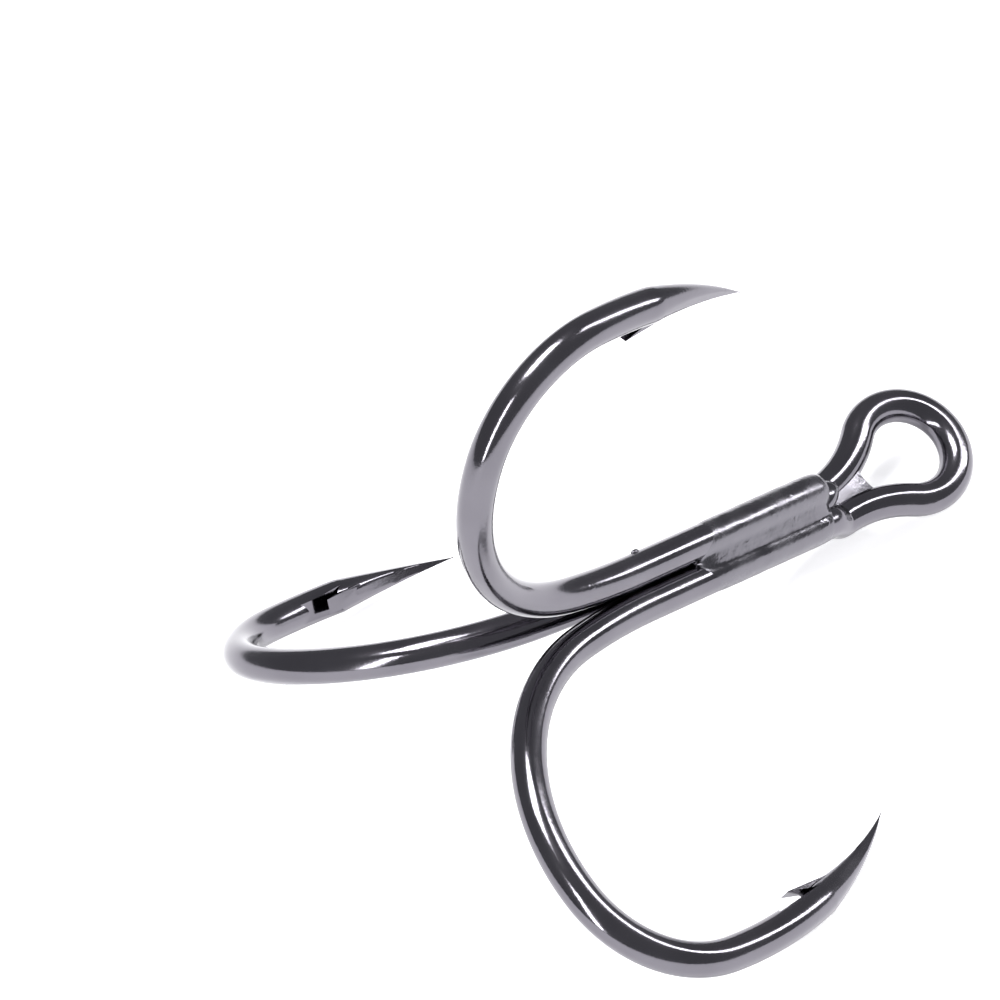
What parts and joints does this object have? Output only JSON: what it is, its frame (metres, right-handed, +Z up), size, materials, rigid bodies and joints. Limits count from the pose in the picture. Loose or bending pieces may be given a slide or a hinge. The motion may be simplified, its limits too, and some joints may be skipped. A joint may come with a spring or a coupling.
{
  "type": "treble hook",
  "caption": "Barbed treble fishing hook: hooks spread round one brazed shank, with a round wire eye to hang it on a lure or line.",
  "frame": {"origin": "centre of the hole in the eye", "axes": "+Z up as the hook lies at rest on its eye and two points, +X along the shank towards the eye, +Y towards the far hook of the pair"},
  "size_m": [0.024, 0.0212, 0.0186],
  "materials": {
    "black_nickel": "polished",
    "plated_braze": "satin"
  },
  "bodies": {
    "root": {"double_hook_wire": "black_nickel", "single_hook_wire": "black_nickel", "braze_joint": "plated_braze"}
  },
  "joints": []
}
